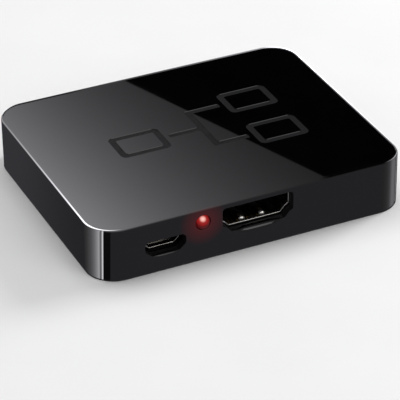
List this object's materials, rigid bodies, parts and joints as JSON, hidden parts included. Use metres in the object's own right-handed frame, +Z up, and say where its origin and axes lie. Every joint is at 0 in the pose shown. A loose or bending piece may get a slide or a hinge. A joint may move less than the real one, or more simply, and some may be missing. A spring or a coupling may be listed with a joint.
{
  "type": "hdmi splitter",
  "caption": "Flat black box with rounded corners that copies one video input to several outputs, with a power socket, a red power light and green output lights.",
  "frame": {"origin": "middle of the underside", "axes": "+X along the socket faces, +Y from the input face to the output face, +Z up"},
  "size_m": [0.064, 0.0538, 0.011],
  "materials": {
    "case_gloss": "polished black moulding",
    "base_plastic": "fine-grained black moulding",
    "screw_steel": "blackened steel",
    "board_laminate": "black solder mask on glass-fibre laminate",
    "shell_steel": "nickel-plated sheet steel",
    "socket_plastic": "black glass-filled moulding",
    "contact_gold": "gold-plated copper alloy",
    "lead_tin": "tinned copper alloy",
    "lens_red": "clear-cast red epoxy",
    "lens_green": "clear-cast green epoxy",
    "chip_epoxy": "moulded black epoxy",
    "ferrite": "pressed ferrite",
    "crystal_steel": "drawn plated can",
    "can_aluminium": "drawn aluminium can",
    "capacitor_ceramic": "fired ceramic",
    "resistor_ceramic": "glazed ceramic"
  },
  "bodies": {
    "root": {"top_cover": "case_gloss", "bottom_cover": "base_plastic", "case_screws": "screw_steel", "circuit_board": "board_laminate", "power_led": "lens_red", "output_1_led": "lens_green", "output_2_led": "lens_green", "splitter_chip": "chip_epoxy", "memory_chip": "chip_epoxy", "main_regulator": "chip_epoxy", "core_regulator": "chip_epoxy", "core_inductor": "ferrite", "crystal_can": "crystal_steel", "crystal_base": "socket_plastic", "bulk_capacitor_can": "can_aluminium", "bulk_capacitor_base": "socket_plastic", "ceramic_capacitors": "capacitor_ceramic", "chip_resistors": "resistor_ceramic", "video_in_shell": "shell_steel", "video_in_insulator": "socket_plastic", "video_in_contacts": "contact_gold", "video_out_1_shell": "shell_steel", "video_out_1_insulator": "socket_plastic", "video_out_1_contacts": "contact_gold", "video_out_2_shell": "shell_steel", "video_out_2_insulator": "socket_plastic", "video_out_2_contacts": "contact_gold", "power_socket_shell": "shell_steel", "power_socket_insulator": "socket_plastic", "power_socket_contacts": "contact_gold", "power_led_leads": "lead_tin", "output_1_led_leads": "lead_tin", "output_2_led_leads": "lead_tin", "splitter_chip_leads": "lead_tin", "memory_chip_leads": "lead_tin", "main_regulator_leads": "lead_tin", "core_regulator_leads": "lead_tin", "crystal_leads": "lead_tin", "bulk_capacitor_leads": "lead_tin", "capacitor_end_caps": "lead_tin", "resistor_end_caps": "lead_tin"}
  },
  "joints": []
}
